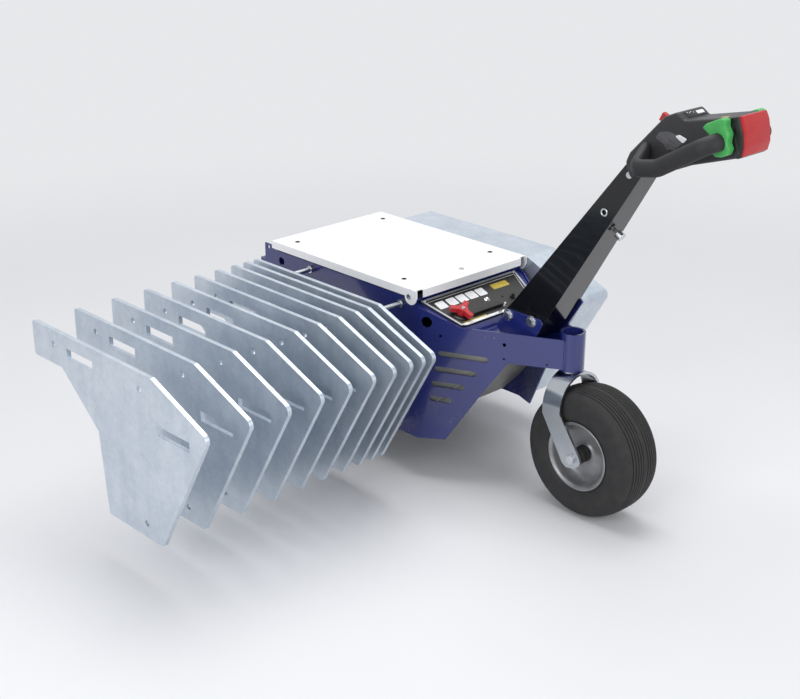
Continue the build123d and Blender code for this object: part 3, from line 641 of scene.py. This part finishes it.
red = Finish("red_plastic", {"Roughness": 0.36})
red_grain = red.dots(0.0016)
red.put("Base Color", red.blend(red.noise(0.03), tint(176, 30, 34), tint(198, 44, 47)))
red.relief(red_grain, 0.00012)
dressed("isolator_handle", "isolator_handle_moulded", "chassis", red, edge=2.5, steps=3)
handle_middle = spot(-71, 128, panel_top - panel_grade * 92)
bm = bmesh.new()
socket_screw = [(0, 0.4), (2.6, 0.4), (3.0, 2.2), (5.6, 2.2), (6.2, 1.4), (6.2, 0)]
turned(bm, socket_screw, handle_middle + panel_rise * 0.022, panel_rise, 24)
new_piece("isolator_handle_screw", "chassis", plated, bm)

# The lid: a folded pan of sheet steel, powder coated white, that turns on two pins through
# its rear ears. A dark strip round the battery box, under the lid's lip, is painted shade for the shadowed
# gap there.
white = Finish("white_powder_coat", {"Roughness": 0.4})
scuffs = white.noise(0.05, 5.0, 0.7, stretch=(1, 0.25, 1)).above(0.66, 0.80)
coat = white.blend(white.noise(0.3), tint(242, 243, 244), tint(250, 250, 250))
white.put("Base Color", white.blend(0.35 * scuffs, coat, tint(214, 215, 216)))
white.relief(white.noise(0.0025, 2.0), 0.00004)
white.put("Roughness", 0.36 + 0.10 * white.noise(0.12, 3.0) + 0.1 * scuffs)
dressed("lid", "lid_coated", "battery_lid", white, edge=1.2, steps=3)
for side_name in ("left", "right"):
    pin = "lid_hinge_pin_" + side_name
    dressed(pin, pin + "_plated", "chassis", plated)
lid_holes, lid_top = [(112, 194), (112, -194), (622, 194), (622, -194)], 630.0
bm = bmesh.new()
for x, y in lid_holes:
    liner = [(4.6, -4), (6.0, -4), (6.0, 0), (8.6, 0.2), (8.2, 0.9), (4.6, 0.9)]
    turned(bm, liner, spot(x, y, lid_top), (0, 0, 1), 24, closed=True)
new_piece("lid_hole_liners", "battery_lid", black_plastic, bm)
bm = bmesh.new()
lock_barrel = [(0, 2.4), (4.4, 2.4), (5.2, 1.6), (5.6, 2.4), (7.6, 2.2), (8.8, 0.8), (9.2, 0)]
turned(bm, lock_barrel, spot(57.6, -3.7, lid_top), (0, 0, 1), 32)
new_piece("lid_lock_barrel", "battery_lid", plated, bm)
# Painted shade: a dark strip, drawn as foam round the battery box, that stands for the shadowed gap under the
# lid's lip.
gap_shade_dark = drifting(
    "gap_shadow_strip_dark", tint(30, 30, 34), tint(42, 42, 46), 0.02, 0.0012, 0.0002, {"Roughness": 0.85}
)
bm = bmesh.new()
gap_shadow_foot, gap_shadow_height, gap_shadow_width = 595.5, 8.0, 12.0
border(
    bm, [spot(x, y, gap_shadow_foot) for x, y in ((30, -231), (686, -231), (686, 231), (30, 231))], gap_shadow_width,
    Vector((0, 0, gap_shadow_height / 1000)),
)
softened(bm, 2.5, 3)
new_piece("lid_gap_shadow_strip", "chassis", gap_shade_dark, bm)

# The ballast: flame cut steel plates, hot dip galvanised with cloudy zinc spangle, hung on
# three threaded studs a side. The left plates stand apart, and the right ones form a pack.
zinc = Finish("galvanised_plate", {"Metallic": 0.72})
flakes = {"Vector": zinc.place, "Scale": 75.0}
spangle = zinc.node("ShaderNodeTexVoronoi", {"feature": "F1"}, flakes, take="Color")
flake = zinc.node("ShaderNodeSeparateColor", None, {"Color": spangle})
cloud = zinc.noise(0.13, 5.0, 0.6)
runs = zinc.noise(0.05, 4.0, 0.55, stretch=(1, 1, 0.12), shift=3.0)
tone = 0.10 * flake + 0.56 * cloud + 0.34 * runs
stain = zinc.noise(0.035, 5.0, 0.7, shift=5.0).above(0.64, 0.78)
sheet_colour = zinc.blend(tone.above(0.25, 0.75), tint(186, 197, 209), tint(214, 222, 230))
zinc.put("Base Color", zinc.blend(0.4 * stain, sheet_colour, tint(236, 238, 240)))
zinc.put("Roughness", 0.26 + 0.20 * tone + 0.2 * stain)
zinc.relief(zinc.noise(0.02, 4.0) + 0.08 * flake, 0.00018)
for k in range(1, 11):
    plate = f"ballast_plate_{k:02d}"
    dressed(plate, plate + "_galvanised", "chassis", zinc, edge=1.6)
pack = "ballast_pack_right"
dressed(pack, pack + "_galvanised", "chassis", zinc, edge=2.8, steps=3)
for side_name in ("left", "right"):
    dressed("studs_" + side_name, f"studs_{side_name}_plated", "chassis", plated, edge=0.6)
stud_points = [(489.0, 581.0), (66.0, 577.0), (71.0, 176.0)]
nearest_plate_face = 401.0
bm = bmesh.new()
for x, z in stud_points:
    turned(bm, [(8, 0), (17, 0), (17, 2), (8, 2)], spot(x, nearest_plate_face, z), (0, 1, 0), closed=True)
    bar(bm, spot(x, nearest_plate_face + 2, z), spot(x, nearest_plate_face + 10.5, z), 13.5, 6)
softened(bm, 0.5, 2, 35)
new_piece("stud_nuts_plated", "chassis", plated, bm)

# The tiller: a tapered box arm welded from folded sheet and painted gloss black, that two
# bolts hold between upright blue bracket plates on the deck.
black = Finish("black_gloss_paint", {"Coat Weight": 0.15, "Coat Roughness": 0.03, "Specular IOR Level": 0.42})
black.put("Base Color", black.blend(black.noise(0.2), tint(9, 9, 12), tint(15, 15, 18)))
black.relief(black.noise(0.02, 2.0), 0.00001)
black.put("Roughness", 0.09 + 0.04 * black.noise(0.06, 4.0))
for side_name in ("left", "right"):
    bracket = "tiller_bracket_" + side_name
    dressed(bracket, bracket + "_painted", "chassis", blue)
dressed("tiller_arm", "tiller_arm_painted", "chassis", black, edge=1.6, steps=3)
bm = bmesh.new()
bracket_face = 71.3
for bolt_name, (x, z) in (("front", (-212, 568)), ("rear", (-303, 573))):
    dressed("tiller_bolt_" + bolt_name, f"tiller_bolt_{bolt_name}_plated", "chassis", plated)
    for side in (1, -1):
        washer = [(7, 0), (18, 0), (18, 2.2), (7, 2.2)]
        turned(bm, washer, spot(x, side * bracket_face, z), (0, side, 0), closed=True)
softened(bm, 0.4)
arm_lean_in = Vector((0, 533, 22)).normalized()
eyelet = [(7.5, 0), (11.5, 0), (11.5, 1.2), (10, 2.0), (8.5, 2.0), (7.5, 1.2)]
turned(bm, eyelet, spot(-530, 48.0, 952), arm_lean_in, 32, closed=True)
ring_bolt = [(0, 0.8), (4.2, 0.8), (4.8, 3.0), (7.2, 3.8), (9.4, 3.0), (10.4, 0)]
turned(bm, ring_bolt, spot(-604, 43.0, 1071), arm_lean_in, 48)
new_piece("tiller_washers_plated", "chassis", plated, bm)
dressed("arm_knob", "arm_knob_plated", "chassis", plated, edge=1.5, steps=3)

# The control head: a moulded black housing on the arm's end with two loop grips, rocking green
# thumb paddles, a red belly button across its end, side pads, a small display and a toggle.
head_tilt = radians(20)


def on_head(u, y, v):
    """A point of the head: u towards the operator, y to the left and v up across its top."""
    x = -640 - u * cos(head_tilt) + v * sin(head_tilt)
    return spot(x, y, 1108 + u * sin(head_tilt) + v * cos(head_tilt))


to_left = Vector((0, 0.001, 0))
head_back = on_head(1, 0, 0) - on_head(0, 0, 0)
head_up = on_head(0, 0, 1) - on_head(0, 0, 0)
housing_black = Finish("moulded_head_black", {"Roughness": 0.42})
housing_patches = housing_black.noise(0.05)
housing_black.put("Base Color", housing_black.blend(housing_patches, tint(34, 34, 36), tint(44, 44, 46)))
housing_black.relief(housing_black.dots(0.0014), 0.00010)
housing_black.put("Roughness", 0.38 + 0.12 * housing_black.noise(0.02, 3.0))
dressed("head_housing", "head_housing_moulded", "chassis", housing_black, edge=1.0, steps=2)
grip_rubber = Finish("soft_grip_rubber", {"Roughness": 0.6})
grip_rubber.put("Base Color", grip_rubber.blend(grip_rubber.noise(0.04), tint(22, 22, 24), tint(31, 31, 33)))
grip_rubber.relief(grip_rubber.noise(0.0012, 3.0), 0.00012)
for side_name in ("left", "right"):
    grip = "grip_" + side_name
    dressed(grip, grip + "_moulded", "chassis", grip_rubber, edge=1.0)
green = Finish("green_paddle_plastic", {"Roughness": 0.38})
green.put("Base Color", green.blend(green.noise(0.03), tint(58, 158, 74), tint(78, 188, 98)))
green.relief(green.dots(0.0034), 0.00045)
paddle_line = [(250, 61), (262, 69), (300, 73.4), (312, 73.6), (322, 67), (317, 52), (321, 30), (311, 10)]
paddle_line += [(313, -8), (303, -19), (286, -21), (268, -16), (261, -4), (268, 10), (271, 30), (262, 46)]
for side_name, side in (("left", 1), ("right", -1)):
    bm = bmesh.new()
    slab(bm, [on_head(u, side * 64.5, v) for u, v in paddle_line], to_left * side * 27, 4)
    softened(bm, 4.5, 4)
    lever = "thumb_paddle_" + side_name
    paddle = new_piece(lever + "_moulded", "chassis", green, bm, soft_angle=55)
    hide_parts(lever)
dressed("head_switch", "head_switch_moulded", "chassis", red, edge=1.5, steps=3)

pad_grey = drifting(
    "side_pad_grey", tint(74, 74, 77), tint(84, 84, 87), 0.02, 0.0012, 0.00008, {"Roughness": 0.5}
)
pad_line = [(77, 61), (93, 74), (120, 71), (176, 40), (122, 18)]
grey_button = [(96, 48), (115, 51), (140, 27), (107, 23)]
white_button = [(141, 54), (155, 56), (176, 40), (160, 32)]
half_head = 58.0
bm = bmesh.new()
for side in (1, -1):
    face = side * half_head
    slab(bm, [on_head(u, face, v) for u, v in pad_line], to_left * side * 1.6, 4)
    slab(bm, [on_head(u, face + side * 1.6, v) for u, v in grey_button], to_left * side * 2.2, 5)
softened(bm, 0.5)
new_piece("head_side_pads", "chassis", pad_grey, bm)
bm = bmesh.new()
for side in (1, -1):
    slab(bm, [on_head(u, side * (half_head + 1.6), v) for u, v in white_button], to_left * side * 2.2, 4)
softened(bm, 0.5)
new_piece("head_white_buttons", "chassis", sign_white, bm)

cap_line = [(335, 68.2), (347, 67.2), (350, 46), (347, 20), (340, -10)]
cap_line += [(326, -32), (314, -33), (329, -8), (335, 20)]
collar_line = [(306, 69.4), (339, 68.4), (339, 20), (332, -10), (318, -34.6), (306, -34.6)]
bm = bmesh.new()
slab(bm, [on_head(u, -54, v) for u, v in cap_line], to_left * 108, 3)
softened(bm, 3.0, 4)
belly_button = new_piece("belly_button_moulded", "chassis", red, bm)
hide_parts("belly_button")
bm = bmesh.new()
slab(bm, [on_head(u, -57.6, v) for u, v in collar_line], to_left * 115.2, 3)
softened(bm, 2.5, 3)
turned(bm, [(13, -3), (13, 1.5), (11.5, 3.2), (7, 3.2)], on_head(53, -30, 78), head_up - 0.52 * head_back, 32)
new_piece("head_dark_collar", "chassis", black_plastic, bm)

hump_fall = on_head(178, 0, 88) - on_head(160, 0, 113)
hump_out = Vector((hump_fall.z, 0, -hump_fall.x)).normalized()
hump_out *= -1 if hump_out.z < 0 else 1


def on_hump(y, down, lift):
    """A point on the hump's rear face, down being the share of its fall from the crest."""
    return on_head(160, y, 113) + hump_fall * down + hump_out * lift / 1000


bm = bmesh.new()
bezel = ((-46, 0.12), (34, 0.12), (34, 0.86), (-46, 0.86))
slab(bm, [on_hump(y, s, 0) for y, s in bezel], hump_out * 0.0014, 3)
softened(bm, 0.4)
new_piece("head_display_plate", "chassis", black_plastic, bm)
bm = bmesh.new()
window = ((-40, 0.34), (-10, 0.34), (-10, 0.68), (-40, 0.68))
slab(bm, [on_hump(y, s, 1.4) for y, s in window], hump_out * 0.0006, 2.5)
for k in range(4):
    across, along = 26 - 8 * k, 0.30 + 0.12 * (k % 2)
    bar(bm, on_hump(across, along, 1.2), on_hump(across, along, 2.0), 1.4, 16)
new_piece("head_display_window", "chassis", sign_white, bm)
bm = bmesh.new()
deck_line = [(282, 38), (282, 53), (304, 53), (304, 38)]
slab(bm, [on_head(u, y, 88 - (u - 178) * 0.125) for u, y in deck_line], head_up * 0.8, 2)
new_piece("head_yellow_strip", "chassis", sign_yellow, bm)

# The tow jaw: two flame cut tongues on a base plate, bolted to the front cross plate through
# its four corners, with a plated drop pin that a spring clip keeps from lifting out.
dressed("tow_jaw", "tow_jaw_painted", "chassis", blue, edge=1.2)
dressed("tow_pin", "tow_pin_plated", "chassis", plated, edge=1.2)
jaw_plate_face, pin_x, clip_height = 772.0, 810.0, 242.0
bm = bmesh.new()
for y in (-66, 66):
    for z in (254, 346):
        bolt_head(bm, spot(jaw_plate_face, y, z), (1, 0, 0), 9, 8)
softened(bm, 0.3, 1)
bar(bm, spot(pin_x, -19, clip_height), spot(pin_x, 19, clip_height), 2.0, 12)
clip_ring = [(17, -1.6), (20, -1.6), (20, 1.6), (17, 1.6)]
turned(bm, clip_ring, spot(pin_x, 0, clip_height), (0, 0, 1), 32, closed=True)
new_piece("tow_jaw_bolts", "chassis", plated, bm)
